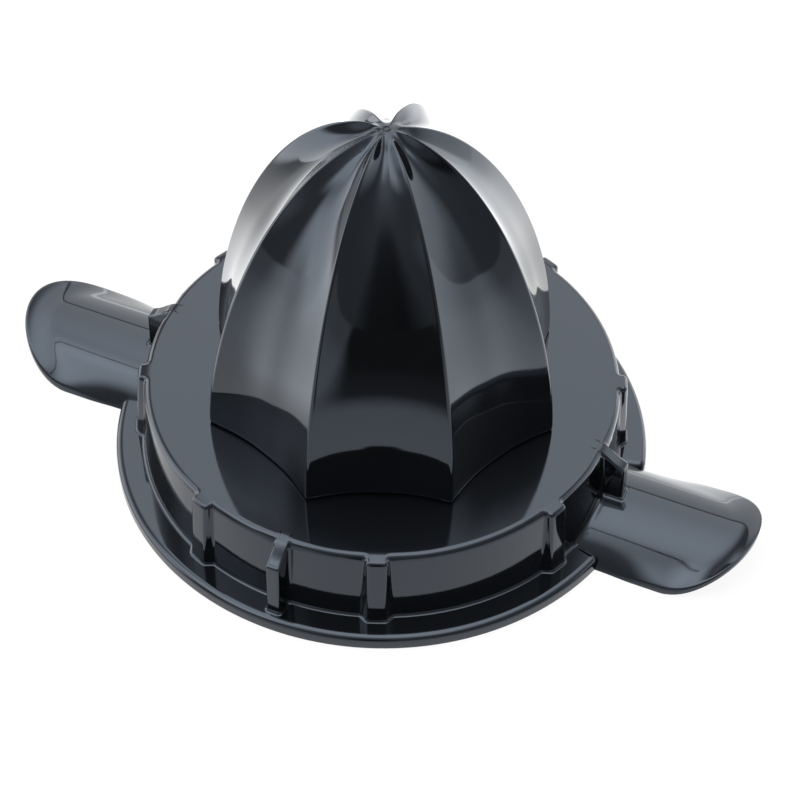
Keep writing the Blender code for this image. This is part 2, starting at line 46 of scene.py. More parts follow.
# Modelling
MERGE = 0.002 * MM          # points nearer than this are one
OVERLAP = 1.0 * MM          # how far a piece runs into the one that it joins or trims
INNER_EDGE = 0.3 * MM       # small edges on the hub, the boss and the wall's foot
ROUNDING_MIDDLE = 0.3       # share by which the middle of a rounding in two steps stands in
SHARP_ABOVE = 35.0          # degrees between faces over which an edge stays sharp
CONE_SHARP_ABOVE = 60.0

# Collar: deck, wall and rim
WALL_TOP_RADIUS = 50.85 * MM    # the wall leans out toward its foot
WALL_FOOT_RADIUS = 51.6 * MM
INNER_TOP_RADIUS = 48.4 * MM
INNER_FOOT_RADIUS = 49.2 * MM
DECK_HEIGHT = 20.6 * MM
DECK_THICKNESS = 2.4 * MM
DECK_EDGE = 1.4 * MM        # radius along the deck's outline
PILASTER_EDGE = 0.9 * MM
GUSSET_EDGE = 0.5 * MM
DECK_RINGS = (26.0 * MM, 38.0 * MM, 47.4 * MM)
FLAT_DECK = DECK_RINGS[-1]  # radius up to which the deck is plain
DECK_STEPS = 10
WALL_STEPS = 4
RIM_RADIUS = 57.8 * MM
RIM_THICKNESS = 3.1 * MM
RIM_EDGE = 1.1 * MM         # height of its round upper edge
RIM_EDGE_WIDTH = 1.6 * MM
RIM_FOOT_EDGE = 0.2 * MM
RIM_END = radians(13.8)     # where the rim stops on either side of a grip
RIM_CORNER = 1.7 * MM
RIM_CORNER_REACH = 1.03     # how far the rim's straight ends stop short, in corner radii
RIM_ROOT = 49.9 * MM        # how far in the rim runs, inside the wall
RIM_ROOT_SHORT = radians(3.5)   # how much sooner its hidden inner edge ends
RIM_STEPS = 72
RIM_ROOT_STEPS = 36
RIM_END_STEPS = 4
RIM_CORNER_STEPS = 8
RIM_EDGE_STEPS = 6
FOOT_FILLET = 0.85 * MM     # between the wall and the rim
FILLET_SINK = 0.02 * MM     # how far that fillet dips into the rim
UNDER_FILLET = 1.0 * MM     # under the deck, at the wall and the hub
UNDER_FILLET_MIDDLE = UNDER_FILLET * ROUNDING_MIDDLE
WALL_STEP = radians(3.0)
CORNER_STEPS = 4            # along a rib's corners in plan
EDGE_STEPS = 8              # down a round edge or fillet

# Ribs on the wall, as half widths at the wall and at the face
RIB_PLACES = 16             # every fourth is a gusset and every odd one a pilaster
RIB_MARGIN = 2.0 * MM       # plain wall on both sides that belongs to a rib's section
RIB_SPAN = radians(6.0)     # what two neighbouring ribs take of the angle between them
RIB_POINTS = (2, 3, 2)      # along a rib's flank, face and flank
RIB_EDGE_CHANGE = 1.5       # how soon a rib's own edge radius takes over from the deck's
PILASTER_DEPTH = 1.55 * MM
PILASTER_FALL = 0.35 * MM
PILASTER_TOP = (2.6 * MM, 2.15 * MM)
PILASTER_FOOT = (3.35 * MM, 1.9 * MM)
GUSSET_HALF = 1.5 * MM
RIM_GUSSET_FACE = 55.55 * MM
RIM_GUSSET_FALL = 3.6 * MM
GRIP_GUSSET_FACE = 55.8 * MM
GRIP_GUSSET_FALL = 3.8 * MM
GUSSET_BEND = 0.8           # share of the S in a gusset's sloping top
ROOT_RADII = (1.0 * MM, 0.6 * MM)       # concave corners in plan, at the foot and at the top
PILASTER_RADII = (0.7 * MM, 0.95 * MM)  # convex corners in plan
GUSSET_RADII = (0.4 * MM, 0.5 * MM)

# Under the deck
HUB_BORE = 6.0 * MM
HUB_RADIUS = 9.0 * MM
HUB_FOOT = 12.0 * MM
HUB_TOP = 26.0 * MM
SEAL_SEAT_RADIUS = 12.0 * MM
SEAL_SEAT_TOP = 23.6 * MM
STIFFENER_COUNT = 8
STIFFENER_THICKNESS = 1.6 * MM
STIFFENER_HEIGHT = 3.0 * MM

# Wing grips
GRIP_REACH = 85.7 * MM
GRIP_HALF_WIDTH = 15.7 * MM
GRIP_CREST = 8.0 * MM
GRIP_VAULT_RADIUS = 18.8 * MM
GRIP_WALL = 1.9 * MM
GRIP_ROOT_FILLET = 1.0 * MM
GUSSET_FILLET = 0.7 * MM
LIP_LIFT = 1.9 * MM
LIP_WIDTH = 5.5 * MM
LIP_THICKNESS = 1.6 * MM
LIP_FADE_START = 56.0 * MM
LIP_FADE_END = 72.0 * MM
LIP_TOP_EDGE = 0.45 * MM
LIP_TOP_STEPS = 4
LIP_FOOT_EDGE = 0.3 * MM
LIP_FOOT_STEPS = 3
GRIP_FOOT_TRIM = 8.0 * MM   # depth of the tool that trims the grips at the floor
GRIP_END_CENTRE = GRIP_REACH - GRIP_HALF_WIDTH
VAULT_CENTRE = GRIP_CREST - GRIP_VAULT_RADIUS
GRIP_FAN_STEPS = 40
# millimetres: steps out from the wall, then places along a grip, and places across it
GRIP_ROOT_STEPS = (0.0, 0.12, 0.26, 0.42, 0.6, 0.8, 1.05, 1.4)
GRIP_STATIONS = (
    53.3, 54.1, 54.8, 55.3, 55.6, 55.8, 55.92, 56.06, 56.22, 56.4, 56.7, 57.2,
    57.9, 58.8, 60.0, 61.3, 62.6, 63.9, 65.2, 66.5, 67.7, 68.8,
)
GRIP_WIDTHS = (
    0.0, 0.7, 1.15, 1.36, 1.48, 1.62, 1.78, 1.98, 2.3, 2.8, 3.5, 4.3,
    5.2, 6.2, 7.2, 8.2, 9.2, 10.2, 11.1, 12.0, 12.8, 13.5, 14.1, 14.6, 15.0,
)

# Reaming cone
RIDGE_COUNT = 8
RIDGE_RADIUS = 39.0 * MM
TALL_RIDGE_HEIGHT = 70.1 * MM
TALL_RIDGE_POWERS = (2.13, 1.67)
LOW_RIDGE_HEIGHT = 69.0 * MM
LOW_RIDGE_POWERS = (1.92, 1.76)
FLUTE_RADIUS = 33.8 * MM
FLUTE_HEIGHT = 68.5 * MM
FLUTE_POWERS = (1.56, 2.36)
FLUTE_SHARPNESS = 2.3       # above 2 the flute's floor is flatter than a parabola
RIDGE_ROUNDING = 0.42 * MM  # half the width of the rounding along a ridge
RIDGE_ROUNDING_SHARE = 0.11 # the most that it takes of a flute's half width
TURN_SHARES = (             # places across half a flute, close together at the ridge
    0.0, 0.004, 0.009, 0.015, 0.022, 0.032, 0.046, 0.066, 0.092, 0.125,
    0.165, 0.21, 0.26, 0.315, 0.375, 0.4375, 0.5,
)
CONE_FOOT = 20.9 * MM
CONE_WALL = 2.2 * MM
CROWN_WALL = 4.0 * MM
CONE_LAST_ANGLE = 86.2      # degrees up the ridges' curves, where the rings of the tip begin
CONE_RINGS = 66
CONE_FOOT_EDGE = 0.35 * MM
CONE_FOOT_STEPS = 3
INNER_LAST_ANGLE = 86.0
INNER_RINGS = 15
TIP_TOP = 69.2 * MM
TIP_BLEND = (0.8 * MM, 5.2 * MM)    # between these radii the flutes fade into a smooth dome
TIP_DOME = 30.0             # the dome's fall in metres, times the distance from the axis squared
TIP_FLAT = 0.9 * MM
TIP_RINGS = 6
# millimetres: radius and drop of the rings of the gate mark
TIP_MARK = (
    (0.86, 0.03), (0.8, 0.12), (0.74, 0.24), (0.66, 0.28), (0.58, 0.24), (0.52, 0.1),
    (0.46, 0.04), (0.38, 0.03), (0.32, 0.08), (0.24, 0.14), (0.14, 0.16),
)
BOSS_FOOT = 28.9 * MM
BOSS_RADIUS = 8.0 * MM
BOSS_DISC_RADIUS = 12.5 * MM
BOSS_DISC_THICKNESS = 1.5 * MM
BOSS_TOP_SHARES = (1.0, 0.7, 0.4, 0.1)
BOSS_STEPS = 64
INSERT_BORE_FLATS = 11.0 * MM
INSERT_BORE_TOP = 46.5 * MM
WEB_THICKNESS = 1.6 * MM
WEB_ANGLES = (25.0, 50.0)   # degrees up the low ridge that a web follows
WEB_STEPS = 8
SKIN_COVER = 1.2 * MM       # skin left over the boss and the webs

# The skin that all the materials share
WAVE_DETAIL = (2.0, 0.45)   # octaves of the noise and their roughness
SMEAR_SIZE = 26.0           # per metre
SMEAR_DETAIL = (4.0, 0.55)
SCRATCH_STRETCH = (1.0, 0.06, 0.06)
SCRATCH_TURN = (0.4, 0.2, 0.9)
SCRATCH_DETAIL = (3.0, 0.6)
SCRATCH_LEVELS = (0.60, 0.74)   # of the noise, where a scratch starts and where it is full
SCRATCH_ROUGHNESS = 0.035
SPECK_SIZE = 240.0
SPECK_LEVELS = (0.10, 0.04)     # of the distance from its middle, where a speck starts and is full

# Black gloss plastic
BLACK_TONE = (0.0022, 0.0024, 0.0028, 1.0)
DUST_TONE = (0.05, 0.05, 0.05, 1.0)
GLOSS_IOR = 1.63
GLOSS_TINT = (0.71, 0.83, 1.0, 1.0)
GLOSS_ROUGHNESS = 0.045
GLOSS_SPREAD = 0.03
GLOSS_GRAIN = 0.05          # strength of the bump
GLOSS_DEPTH = 0.2 * MM

# Drive parts: piece, material, grain per metre, colour, roughness and its spread, metallic, grain, flecks
DRIVE_FINISHES = (
    ("drive_insert", "machined_brass", 900.0, (0.72, 0.55, 0.27), 0.24, 0.14, 1.0, 0.2, 0.2),
    ("drive_spindle", "ground_steel", 1400.0, (0.60, 0.61, 0.62), 0.2, 0.12, 1.0, 0.15, 0.15),
    ("spindle_bush", "oiled_bronze", 2600.0, (0.55, 0.38, 0.22), 0.34, 0.2, 1.0, 0.4, 0.8),
    ("thrust_washer", "natural_nylon", 400.0, (0.75, 0.74, 0.70), 0.42, 0.12, 0.0, 0.1, 0.05),
    ("juice_seal", "seal_rubber", 1200.0, (0.02, 0.02, 0.02), 0.6, 0.2, 0.0, 0.3, 0.3),
    ("lower_washer", "stamped_steel", 1000.0, (0.60, 0.61, 0.62), 0.3, 0.16, 1.0, 0.2, 0.25),
    ("retaining_clip", "spring_steel", 1100.0, (0.45, 0.46, 0.48), 0.32, 0.18, 1.0, 0.25, 0.3),
    ("drive_coupling", "black_acetal", 500.0, (0.03, 0.03, 0.032), 0.38, 0.12, 0.0, 0.15, 0.1),
    ("coupling_pin", "pin_steel", 1400.0, (0.60, 0.61, 0.62), 0.22, 0.12, 1.0, 0.15, 0.15),
)

DRIVE_DEPTH = 0.1 * MM      # of the bump
SCRATCHES_PER_GRAIN = 6
FLECK_SHADE = 0.6           # of the colour, in a fleck
WAVE_SHADE = 0.8            # and on a wave

# The room that the gloss mirrors: its level from the horizon up, as (sine of elevation, level)
ROOM_LEVELS = ((0.0, 0.3), (0.3, 0.32), (0.6, 0.4), (0.75, 0.6), (0.86, 0.95), (0.95, 1.4), (1.0, 1.7))
LEAST_FACING = 0.01         # cosine under which a direction counts as behind a softbox
FLOOR_RADIUS = 6.0
FLOOR_STEPS = 96
FLOOR_DROP = 0.05 * MM      # below the rim, so that the two don't share a plane
FLOOR_WHITE = 0.9           # how far the camera sees plain white instead of lit paper
FLOOR_LEAST = 0.05
SHEET_LIT = 0.09            # metres: the gloss mirrors the floor fully lit up to here
SHEET_END = 0.6             # and at the level of the far floor from here on
FAR_FLOOR = 0.6
PAPER_TONE = (0.9, 0.9, 0.9, 1.0)
PAPER_ROUGHNESS = 0.9
PAPER_SPECULAR = 0.1

# Softboxes in the room: name, azimuth and elevation, size across and up in degrees,
# feathers at the sides, top and foot, glow; a glow below zero takes light away
PANELS = (
    ("overhead", 98, 74.6, 68, 84.7, (0.4, 0.4, 0.03), 1.68),
    ("back", 100, -4, 92, 70, (0.3, 0.03, 0.1), 1.3),
    ("left", 182, 14, 76, 74, (0.22, 0.7, 0.1), 2.8),
    ("upper_left", 212, 52, 54, 42, (0.3, 0.25, 0.3), 2.6),
    ("overhead_seam", 225, 68, 30, 1.3, (0.05, 0.006, 0.006), -2.4),
    ("front_left", 252, 4, 44, 50, (0.2, 0.4, 0.1), 0.6),
    ("right", 46, 12, 84, 74, (0.6, 0.6, 0.1), 1.5),
    ("camera_gap", 290, 6, 24, 84, (0.2, 0.5, 0.1), -0.27),
)

# Light spilt on the floor, painted into what the gloss mirrors: name, centre, azimuth, half angles of edge
# and core, reach where it starts and where it is full (less than the first for light that stays near), glow;
# a glow below zero is painted shade
SPILLS = (
    ("left", (-0.022, -0.025), 198, 26, 12, 0.03, 0.07, 1.5),
    ("left_far", (-0.022, -0.025), 195, 22, 12, 0.09, 0.3, 0.9),
    ("right", (0.029, -0.012), 44, 46, 12, 0.02, 0.05, 1.2),
    ("right_far", (0.029, -0.012), 44, 46, 12, 0.06, 0.3, 0.4),
    ("back", (0.0, 0.03), 110, 56, 34, 0.04, 0.1, 1.6),
    ("back_left", (-0.02, 0.005), 140, 50, 25, 0.13, 0.07, 0.45),
    # painted shade: darkens the mirrored floor in front of the camera
    ("camera_gap", (0.013, -0.032), 290, 12, 6, 0.08, 0.12, -0.85),
)

# Camera, fitted to the photograph
CAMERA_PLACE = (156.2, -366.7, 438.6)   # millimetres
CAMERA_TARGET = (3.59, 1.32, 13.07)
CAMERA_ROLL = radians(1.3)
CAMERA_LENS = 121.65
CAMERA_SENSOR = 36.0


# ---- modelling helpers ----
def finish_mesh(bm, name):
    """An object at the origin, made of a bmesh, with doubles merged and faces outward."""
    bmesh.ops.remove_doubles(bm, verts=bm.verts, dist=MERGE)
    bmesh.ops.recalc_face_normals(bm, faces=bm.faces)
    mesh = bpy.data.meshes.new(name)
    bm.to_mesh(mesh)
    bm.free()
    piece = bpy.data.objects.new(name, mesh)
    bpy.context.scene.collection.objects.link(piece)
    return piece


def only(piece):
    """Select one object and make it active."""
    bpy.ops.object.select_all(action="DESELECT")
    piece.select_set(True)
    bpy.context.view_layer.objects.active = piece


def combine(piece, tool, operation):
    """Join or cut by a tool, which is used up."""
    only(piece)
    bpy.ops.object.modifier_add(type="BOOLEAN")
    modifier = piece.modifiers[-1]
    modifier.operation = operation
    modifier.solver = "MANIFOLD"
    modifier.object = tool
    bpy.ops.object.modifier_apply(modifier=modifier.name)
    bpy.data.objects.remove(tool, do_unlink=True)


def shade(piece, sharp_above):
    """Smooth shading, apart from the edges sharper than an angle in degrees."""
    only(piece)
    piece.data.materials.clear()
    for face in piece.data.polygons:
        face.material_index = 0
    bpy.ops.object.shade_smooth_by_angle(angle=radians(sharp_above))
    bpy.ops.object.modifier_add(type="WEIGHTED_NORMAL")
    modifier = piece.modifiers[-1]
    modifier.keep_sharp = True
    bpy.ops.object.modifier_apply(modifier=modifier.name)


def add_grid(bm, rows, closed_rows, closed_columns=True):
    """Faces between rows of points; columns run round, rows may close too."""
    rings = [[bm.verts.new(point) for point in row] for row in rows]
    pairs = list(zip(rings, rings[1:]))
    if closed_rows:
        pairs.append((rings[-1], rings[0]))
    for ring, following in pairs:
        count = len(ring) if closed_columns else len(ring) - 1
        for i in range(count):
            j = (i + 1) % len(ring)
            bm.faces.new((ring[i], ring[j], following[j], following[i]))
    return rings


def add_stack(bm, rows):
    """A solid between rows of points, closed at its first and last."""
    rings = add_grid(bm, rows, False)
    bm.faces.new(rings[0])
    bm.faces.new(rings[-1])


def add_prism(bm, foot, top):
    """A solid between two outlines of as many points."""
    low = [bm.verts.new(point) for point in foot]
    high = [bm.verts.new(point) for point in top]
    bm.faces.new(low)
    bm.faces.new(high)
    for i, vert in enumerate(low):
        j = (i + 1) % len(low)
        bm.faces.new((vert, low[j], high[j], high[i]))


def polar(radius, angle, height):
    return Vector((radius * cos(angle), radius * sin(angle), height))


def radial_plate(name, profile, turn, thickness):
    """An upright plate through the axis, from its (radius, height) outline."""
    across = polar(thickness / 2, turn + pi / 2, 0.0)
    bm = bmesh.new()
    sides = []
    for side in (-across, across):
        sides.append([polar(radius, turn, height) + side for radius, height in profile])
    add_prism(bm, *sides)
    return finish_mesh(bm, name)


def quarter(steps, first=0):
    """Angles through a quarter turn, for round edges and fillets."""
    return [pi / 2 * k / steps for k in range(first, steps + 1)]


def ease(value):
    """Smooth step from 0 to 1."""
    value = min(max(value, 0.0), 1.0)
    return value * value * (3 - 2 * value)


# ---- collar ----
def rounded(corners, radii, between):
    """Points and normals along a polyline of (side, out) corners, its inner corners made round."""
    arcs = []
    for i, radius in enumerate(radii, 1):
        before = (Vector(corners[i]) - Vector(corners[i - 1])).normalized()
        after = (Vector(corners[i + 1]) - Vector(corners[i])).normalized()
        turn = atan2(before.x * after.y - before.y * after.x, before.dot(after))
        side = 1 if turn > 0 else -1
        normal = Vector((-before.y, before.x))
        centre = Vector(corners[i]) - before * radius * tan(abs(turn) / 2) + normal * radius * side
        arc = []
        for k in range(CORNER_STEPS + 1):
            angle = turn * k / CORNER_STEPS
            swung = Vector((
                normal.x * cos(angle) - normal.y * sin(angle),
                normal.x * sin(angle) + normal.y * cos(angle),
            ))
            arc.append((centre - swung * radius * side, swung))
        arcs.append(arc)
    points = list(arcs[0])
    for arc, steps in zip(arcs[1:], between):
        last, normal = points[-1]
        for k in range(1, steps + 1):
            points.append((last.lerp(arc[0][0], k / (steps + 1)), normal))
        points.extend(arc)
    return points


def wall_radius(level):
    return WALL_TOP_RADIUS if level else WALL_FOOT_RADIUS


def gusset_face(kind):
    return GRIP_GUSSET_FACE if kind == "grip_gusset" else RIM_GUSSET_FACE


def rib_section(kind, level):
    """The rib's outline at its foot or its top, in (side, out) from the wall."""
    root = ROOT_RADII[level]
    if kind == "pilaster":
        wide, narrow = PILASTER_TOP if level else PILASTER_FOOT
        depth = PILASTER_DEPTH
        corner = PILASTER_RADII[level]
    else:
        wide = narrow = GUSSET_HALF
        depth = gusset_face(kind) - wall_radius(level)
        corner = GUSSET_RADII[level]
    far = wide + RIB_MARGIN
    corners = [(-far, 0), (-wide, 0), (-narrow, depth), (narrow, depth), (wide, 0), (far, 0)]
    return rounded(corners, (root, corner, corner, root), RIB_POINTS)


def collar_outline(level):
    """Plan points of the wall with its ribs: (x, y, normal x, normal y, kind, deck edge's radius)."""
    radius = wall_radius(level)
    kinds = []
    for i in range(RIB_PLACES):
        if i % 4 == 0:
            kinds.append((2 * pi * i / RIB_PLACES, "grip_gusset" if i % 8 == 0 else "rim_gusset"))
        elif i % 2:
            kinds.append((2 * pi * i / RIB_PLACES, "pilaster"))
    points = []
    for n, (turn, kind) in enumerate(kinds):
        section = rib_section(kind, level)
        for place, normal in section:
            out = sqrt(radius ** 2 - place.x ** 2) + place.y
            lean = asin(place.x / radius) * (1 - min(place.y / PILASTER_DEPTH, 1.0))
            own_edge = PILASTER_EDGE if kind == "pilaster" else GUSSET_EDGE
            edge = DECK_EDGE + (own_edge - DECK_EDGE) * ease(place.y / PILASTER_DEPTH * RIB_EDGE_CHANGE)
            nx, ny = normal.y, normal.x
            nx, ny = nx * cos(lean) - ny * sin(lean), nx * sin(lean) + ny * cos(lean)
            points.append((
                out * cos(turn) - place.x * sin(turn),
                out * sin(turn) + place.x * cos(turn),
                nx * cos(turn) - ny * sin(turn),
                nx * sin(turn) + ny * cos(turn),
                kind,
                edge,
            ))
        following, next_kind = kinds[(n + 1) % len(kinds)]
        first = atan2(points[-1][1], points[-1][0])
        half = asin(-rib_section(next_kind, level)[0][0].x / radius)
        last = following - half
        span = (last - first) % (2 * pi)
        steps = ceil(((following - turn) % (2 * pi) - RIB_SPAN) / WALL_STEP)
        for k in range(1, steps):
            angle = first + span * k / steps
            x, y = cos(angle), sin(angle)
            points.append((radius * x, radius * y, x, y, "wall", DECK_EDGE))
    return points


def top_fall(x, y, kind):
    """How far the deck's surface falls where it runs out over a rib."""
    out = max(hypot(x, y) - WALL_TOP_RADIUS + DECK_EDGE, 0.0)
    if kind == "pilaster":
        return PILASTER_FALL * ease(out / (PILASTER_DEPTH + DECK_EDGE))
    if kind == "wall":
        return 0.0
    fall = GRIP_GUSSET_FALL if kind == "grip_gusset" else RIM_GUSSET_FALL
    share = out / (gusset_face(kind) - WALL_TOP_RADIUS + DECK_EDGE)
    return fall * gusset_slope(share)


def gusset_slope(share):
    """The S of a gusset's top, from level at the deck to nearly level at its outer end."""
    return (1 - GUSSET_BEND) * share + GUSSET_BEND * ease(share)


def collar_rows():
    """Rows of points round the collar: up the hub's bore, over the deck, down the wall and back inside."""
    top = collar_outline(True)
    foot = collar_outline(False)
    turns = [atan2(y, x) for x, y, *_ in top]
    rows = []

    def ring(radius, height):
        rows.append([polar(radius, turn, height) for turn in turns])

    ring(HUB_BORE, HUB_FOOT + INNER_EDGE)
    ring(HUB_BORE, HUB_TOP - INNER_EDGE)
    ring(HUB_BORE + INNER_EDGE, HUB_TOP)
    ring(HUB_RADIUS - INNER_EDGE, HUB_TOP)
    ring(HUB_RADIUS, HUB_TOP - INNER_EDGE)
    ring(HUB_RADIUS, SEAL_SEAT_TOP)
    ring(SEAL_SEAT_RADIUS - INNER_EDGE, SEAL_SEAT_TOP)
    ring(SEAL_SEAT_RADIUS, SEAL_SEAT_TOP - INNER_EDGE)
    ring(SEAL_SEAT_RADIUS, DECK_HEIGHT)
    for radius in DECK_RINGS:
        ring(radius, DECK_HEIGHT)
    for k in range(1, DECK_STEPS + 1):
        row = []
        for (x, y, nx, ny, kind, curve), turn in zip(top, turns):
            edge = Vector((x - nx * curve, y - ny * curve))
            place = Vector((FLAT_DECK * cos(turn), FLAT_DECK * sin(turn))).lerp(edge, k / DECK_STEPS)
            row.append(Vector((*place, DECK_HEIGHT - top_fall(*place, kind))))
        rows.append(row)
    for angle in quarter(EDGE_STEPS, 1):
        row = []
        for x, y, nx, ny, kind, curve in top:
            short = curve * (1 - sin(angle))
            px, py = x - nx * short, y - ny * short
            row.append(Vector((px, py, DECK_HEIGHT - top_fall(px, py, kind) - curve * (1 - cos(angle)))))
        rows.append(row)
    wall_top = rows[-1]
    wall_foot = RIM_THICKNESS + FOOT_FILLET
    for k in range(1, WALL_STEPS + 1):
        ends = [Vector((x, y, wall_foot)) for x, y, *_ in foot]
        rows.append([start.lerp(end, k / WALL_STEPS) for start, end in zip(wall_top, ends)])
    for angle in quarter(EDGE_STEPS, 1):
        grown = FOOT_FILLET * (1 - cos(angle))
        height = wall_foot - FOOT_FILLET * sin(angle) - FILLET_SINK
        rows.append([Vector((x + nx * grown, y + ny * grown, height)) for x, y, nx, ny, *_ in foot])
    rows.append([Vector((place.x, place.y, 0.0)) for place in rows[-1]])
    under = DECK_HEIGHT - DECK_THICKNESS
    ring(INNER_FOOT_RADIUS + INNER_EDGE, 0.0)
    ring(INNER_FOOT_RADIUS, INNER_EDGE)
    ring(INNER_TOP_RADIUS, under - UNDER_FILLET)
    ring(INNER_TOP_RADIUS - UNDER_FILLET_MIDDLE, under - UNDER_FILLET_MIDDLE)
    ring(INNER_TOP_RADIUS - UNDER_FILLET, under)
    ring(HUB_RADIUS + UNDER_FILLET, under)
    ring(HUB_RADIUS + UNDER_FILLET_MIDDLE, under - UNDER_FILLET_MIDDLE)
    ring(HUB_RADIUS, under - UNDER_FILLET)
    ring(HUB_RADIUS, HUB_FOOT + INNER_EDGE)
    ring(HUB_RADIUS - INNER_EDGE, HUB_FOOT)
    ring(HUB_BORE + INNER_EDGE, HUB_FOOT)
    return rows


def rim_outline(middle):
    """Plan points of one half of the rim, its outer corners round: (x, y, normal x, normal y)."""
    points = []
    half = pi / 2 - RIM_END
    swing = asin(RIM_CORNER / (RIM_RADIUS - RIM_CORNER))
    for side in (-1, 1):
        end = middle + side * half
        face = end + side * pi / 2
        edge = []
        for k in range(RIM_END_STEPS + 1):
            reach = RIM_RADIUS - RIM_CORNER * RIM_CORNER_REACH - RIM_ROOT
            place = polar(RIM_ROOT + reach * k / RIM_END_STEPS, end, 0.0)
            edge.append((place.x, place.y, cos(face), sin(face)))
        centre = polar(RIM_RADIUS - RIM_CORNER, end - side * swing, 0.0)
        for k in range(RIM_CORNER_STEPS + 1):
            angle = face + (end - side * swing - face) * k / RIM_CORNER_STEPS
            nx, ny = cos(angle), sin(angle)
            edge.append((centre.x + RIM_CORNER * nx, centre.y + RIM_CORNER * ny, nx, ny))
        if side > 0:
            points.extend(reversed(edge))
            continue
        points.extend(edge)
        for k in range(1, RIM_STEPS):
            angle = end + swing + 2 * (half - swing) * k / RIM_STEPS
            nx, ny = cos(angle), sin(angle)
            points.append((RIM_RADIUS * nx, RIM_RADIUS * ny, nx, ny))
    for k in range(RIM_ROOT_STEPS + 1):
        angle = middle + (half - RIM_ROOT_SHORT) * (1 - 2 * k / RIM_ROOT_STEPS)
        points.append((RIM_ROOT * cos(angle), RIM_ROOT * sin(angle), 0.0, 0.0))
    return points


def rim_half(middle):
    """Half of the rim: a plate with a round upper edge that runs on round its ends."""
    outline = rim_outline(middle)
    between = RIM_FOOT_EDGE * ROUNDING_MIDDLE
    levels = [(RIM_FOOT_EDGE, 0.0), (between, between), (0.0, RIM_FOOT_EDGE)]
    for angle in quarter(RIM_EDGE_STEPS):
        levels.append((RIM_EDGE_WIDTH * (1 - cos(angle)), RIM_THICKNESS - RIM_EDGE * (1 - sin(angle))))
    rows = []
    for inset, height in levels:
        rows.append([Vector((x - nx * inset, y - ny * inset, height)) for x, y, nx, ny in outline])
    bm = bmesh.new()
    add_stack(bm, rows)
    return finish_mesh(bm, "rim_half")


def wall_at(height):
    """The radius of the collar's wall at a height above the rim."""
    low = RIM_THICKNESS + FOOT_FILLET
    high = DECK_HEIGHT - DECK_EDGE
    return WALL_FOOT_RADIUS + (WALL_TOP_RADIUS - WALL_FOOT_RADIUS) * max(height - low, 0.0) / (high - low)


def vault_height(y):
    """Height of the grips' plain arch."""
    return VAULT_CENTRE + sqrt(GRIP_VAULT_RADIUS ** 2 - y ** 2)


def fillet_rise(distance, radius):
    """Height that a fillet adds at a distance from the face that it runs up."""
    if distance >= radius:
        return 0.0
    return radius - sqrt(radius ** 2 - (radius - max(distance, 0.0)) ** 2)


def root_fillet(x, y):
    """Rise of a grip's skin toward the wall and toward the gusset that stands on it."""
    beside = max(abs(y) - GUSSET_HALF, 0.0)
    beyond = max(x - GRIP_GUSSET_FACE, 0.0)
    return max(
        fillet_rise(hypot(x, y) - wall_at(vault_height(y)), GRIP_ROOT_FILLET),
        fillet_rise(hypot(beside, beyond), GUSSET_FILLET),
    )


def grip_height(x, y, inset, share):
    """Height of a grip's skin at (x, y), inset from its edge: share 0 on its outside, 1 on its inside."""
    across = sqrt(GRIP_VAULT_RADIUS ** 2 - y ** 2)
    grown = ease((x - LIP_FADE_START) / (LIP_FADE_END - LIP_FADE_START))
    flare = grown * max(1 - inset / LIP_WIDTH, 0.0) ** 2
    wall = (1 - flare) * GRIP_WALL * GRIP_VAULT_RADIUS / across + flare * LIP_THICKNESS
    return VAULT_CENTRE + across + LIP_LIFT * flare - wall * share


def grip_row(inset):
    """Plan points round a grip at one inset from its edge."""
    width = GRIP_HALF_WIDTH - inset
    wall = wall_at(vault_height(width))
    inside = sqrt((wall - OVERLAP) ** 2 - width ** 2)
    start = sqrt(wall ** 2 - width ** 2)
    flank = [(inside, width)]
    flank.extend((start + step * MM, width) for step in GRIP_ROOT_STEPS)
    flank.extend((place * MM, width) for place in GRIP_STATIONS)
    flank.append((GRIP_END_CENTRE, width))
    row = list(flank)
    for i in range(1, GRIP_FAN_STEPS):
        angle = pi / 2 - pi * i / GRIP_FAN_STEPS
        row.append((GRIP_END_CENTRE + width * cos(angle), width * sin(angle)))
    row.extend([(x, -y) for x, y in reversed(flank)])
    return row


def grip_rows():
    """Rows from the spine out over the lip's edge and back in under it."""
    rows = []
    insets = [GRIP_HALF_WIDTH - width * MM for width in GRIP_WIDTHS]

    def outside(inset, fall):
        plan = grip_row(inset)
        rows.append([(x, y, grip_height(x, y, inset, 0) + root_fillet(x, y) - fall) for x, y in plan])

    def inside(inset, rise):
        rows.append([(x, y, grip_height(x, y, inset, 1) + rise) for x, y in grip_row(inset)])

    for inset in insets:
        outside(inset, 0.0)
    for angle in quarter(LIP_TOP_STEPS):
        outside(LIP_TOP_EDGE * (1 - sin(angle)), LIP_TOP_EDGE * (1 - cos(angle)))
    for angle in quarter(LIP_FOOT_STEPS):
        inside(LIP_FOOT_EDGE * (1 - cos(angle)), LIP_FOOT_EDGE * (1 - sin(angle)))
    for inset in reversed(insets[1::2]):
        inside(inset, 0.0)
    inside(GRIP_HALF_WIDTH, 0.0)
    return rows


def one_grip(side):
    bm = bmesh.new()
    rings = add_grid(bm, grip_rows(), False, closed_columns=False)
    for end in (0, -1):
        bm.faces.new([ring[end] for ring in rings])
    if side < 0:
        for vert in bm.verts:
            vert.co.x = -vert.co.x
            vert.co.y = -vert.co.y
    return finish_mesh(bm, "grip")


def below_floor():
    """The tool that trims the grips at the floor."""
    far = GRIP_REACH + RIM_RADIUS
    plan = ((-far, -far), (far, -far), (far, far), (-far, far))
    bm = bmesh.new()
    add_prism(bm, *[[Vector((x, y, height)) for x, y in plan] for height in (-GRIP_FOOT_TRIM, 0.0)])
    return finish_mesh(bm, "below_floor")


